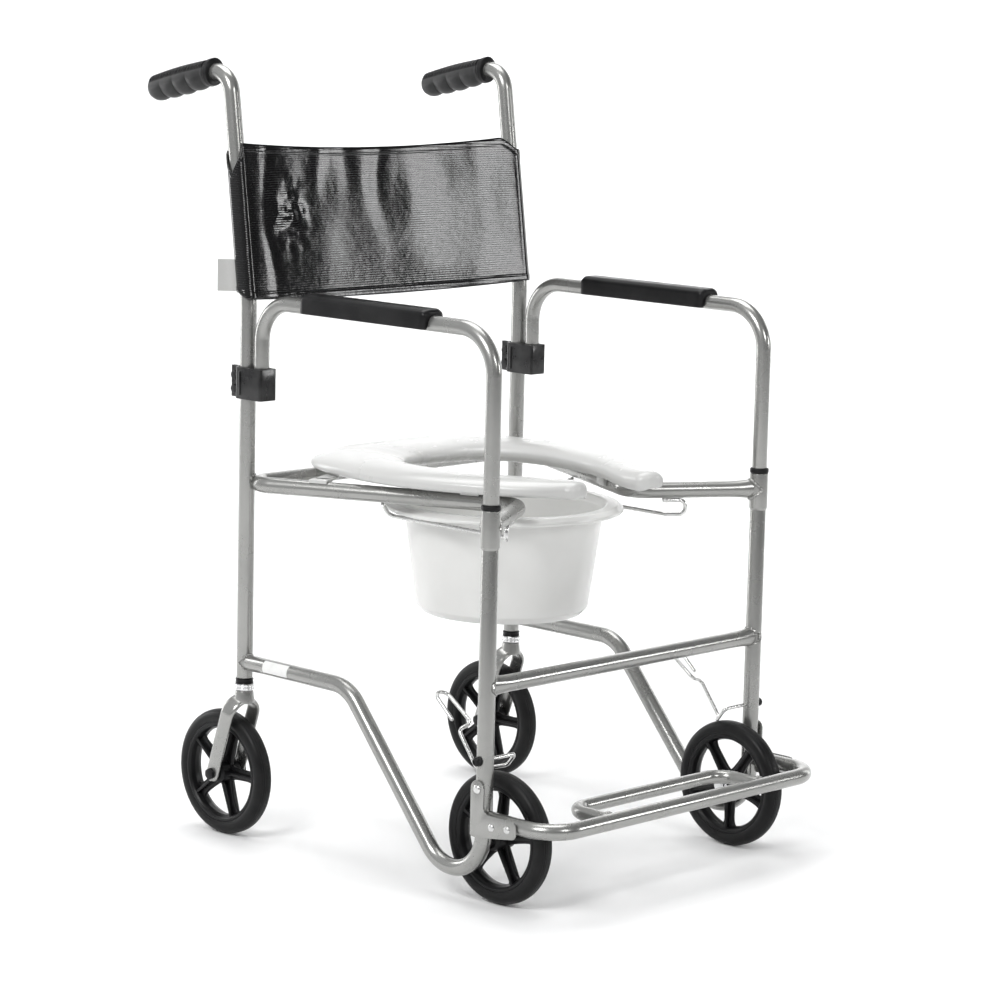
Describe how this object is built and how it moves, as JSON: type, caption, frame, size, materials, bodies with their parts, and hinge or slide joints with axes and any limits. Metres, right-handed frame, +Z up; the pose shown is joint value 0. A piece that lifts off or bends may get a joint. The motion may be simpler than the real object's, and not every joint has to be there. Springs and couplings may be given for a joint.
{
  "type": "commode chair",
  "caption": "Wheeled commode chair: steel tube frame, horseshoe seat over a slide-out bucket, lift-out armrests, wire wheel brakes and a fold-up footrest.",
  "frame": {"origin": "on the floor, midway between the side frames and midway between the footrest bar's front and the push grips' ends", "axes": "+Z up, -Y the way the sitter faces, +X the sitter's left"},
  "size_m": [0.5036, 0.6922, 0.9142],
  "materials": {
    "frame_paint": "satin silver-grey paint",
    "bracket_steel": "black satin paint",
    "zinc_wire": "bright zinc plate",
    "bright_metal": "polished",
    "black_plastic": "satin",
    "tyre_rubber": "matt rubber",
    "white_plastic": "glossy white",
    "back_vinyl": "glossy black vinyl"
  },
  "bodies": {
    "frame": {"seat_frame_tube": "frame_paint", "front_crossbar": "frame_paint", "back_upholstery": "back_vinyl", "rear_upright_right": "frame_paint", "side_tube_right": "frame_paint", "guide_wire_right": "zinc_wire", "push_grip_right": "black_plastic", "arm_bracket_right": "bracket_steel", "bracket_bolt_lower_right": "bright_metal", "bracket_bolt_upper_right": "bright_metal", "headset_ring_right": "bright_metal", "headset_seal_right": "black_plastic", "socket_ring_right": "black_plastic", "front_axle_right": "bright_metal", "brake_cap_right": "black_plastic", "footrest_rivet_right": "bright_metal", "rear_upright_left": "frame_paint", "side_tube_left": "frame_paint", "guide_wire_left": "zinc_wire", "push_grip_left": "black_plastic", "arm_bracket_left": "bracket_steel", "bracket_bolt_lower_left": "bright_metal", "bracket_bolt_upper_left": "bright_metal", "headset_ring_left": "bright_metal", "headset_seal_left": "black_plastic", "socket_ring_left": "black_plastic", "front_axle_left": "bright_metal", "brake_cap_left": "black_plastic", "footrest_rivet_left": "bright_metal"},
    "armrest_right": {"arm_tube_right": "frame_paint", "arm_pad_right": "black_plastic"},
    "caster_right": {"caster_fork_right": "frame_paint"},
    "caster_wheel_right": {"caster_rim_right": "black_plastic", "caster_tyre_right": "tyre_rubber", "caster_axle_right": "black_plastic"},
    "front_wheel_right": {"front_rim_right": "black_plastic", "front_tyre_right": "tyre_rubber"},
    "brake_right": {"brake_wire_right": "zinc_wire"},
    "armrest_left": {"arm_tube_left": "frame_paint", "arm_pad_left": "black_plastic"},
    "caster_left": {"caster_fork_left": "frame_paint"},
    "caster_wheel_left": {"caster_rim_left": "black_plastic", "caster_tyre_left": "tyre_rubber", "caster_axle_left": "black_plastic"},
    "front_wheel_left": {"front_rim_left": "black_plastic", "front_tyre_left": "tyre_rubber"},
    "brake_left": {"brake_wire_left": "zinc_wire"},
    "footrest": {"footrest_tube": "frame_paint", "footrest_loop": "frame_paint", "footrest_plate_right": "frame_paint", "footrest_plate_left": "frame_paint"},
    "bucket": {"bucket": "white_plastic"},
    "seat": {"seat": "white_plastic", "seat_clip_rear_right": "white_plastic", "seat_clip_front_right": "white_plastic", "seat_clip_rear_left": "white_plastic", "seat_clip_front_left": "white_plastic"}
  },
  "joints": [
    {"name": "armrest_right_lift", "type": "slide", "parent": "frame", "child": "armrest_right", "axis": [0, 0, 1], "range_m": [0, 0.08]},
    {"name": "caster_right_swivel", "type": "hinge", "parent": "frame", "child": "caster_right", "pos_m": [-0.225, 0.1681, 0.18], "axis": [0, 0, 1], "continuous": true},
    {"name": "caster_right_roll", "type": "hinge", "parent": "caster_right", "child": "caster_wheel_right", "pos_m": [-0.225, 0.2001, 0.075], "axis": [1, 0, 0], "continuous": true},
    {"name": "front_right_roll", "type": "hinge", "parent": "frame", "child": "front_wheel_right", "pos_m": [-0.196, -0.2299, 0.075], "axis": [1, 0, 0], "continuous": true},
    {"name": "brake_right_lift", "type": "hinge", "parent": "frame", "child": "brake_right", "pos_m": [-0.2125, -0.2329, 0.168], "axis": [1, 0, 0], "range_deg": [0, 40]},
    {"name": "armrest_left_lift", "type": "slide", "parent": "frame", "child": "armrest_left", "axis": [0, 0, 1], "range_m": [0, 0.08]},
    {"name": "caster_left_swivel", "type": "hinge", "parent": "frame", "child": "caster_left", "pos_m": [0.225, 0.1681, 0.18], "axis": [0, 0, 1], "continuous": true},
    {"name": "caster_left_roll", "type": "hinge", "parent": "caster_left", "child": "caster_wheel_left", "pos_m": [0.225, 0.2001, 0.075], "axis": [1, 0, 0], "continuous": true},
    {"name": "front_left_roll", "type": "hinge", "parent": "frame", "child": "front_wheel_left", "pos_m": [0.196, -0.2299, 0.075], "axis": [1, 0, 0], "continuous": true},
    {"name": "brake_left_lift", "type": "hinge", "parent": "frame", "child": "brake_left", "pos_m": [0.2125, -0.2329, 0.168], "axis": [1, 0, 0], "range_deg": [0, 40]},
    {"name": "footrest_fold", "type": "hinge", "parent": "frame", "child": "footrest", "pos_m": [0, -0.2329, 0.137], "axis": [-1, 0, 0], "range_deg": [0, 90]},
    {"name": "bucket_slide", "type": "slide", "parent": "frame", "child": "bucket", "axis": [0, -1, 0], "range_m": [0, 0.35]},
    {"name": "seat_lift", "type": "slide", "parent": "frame", "child": "seat", "axis": [0, 0, 1], "range_m": [0, 0.08]}
  ]
}
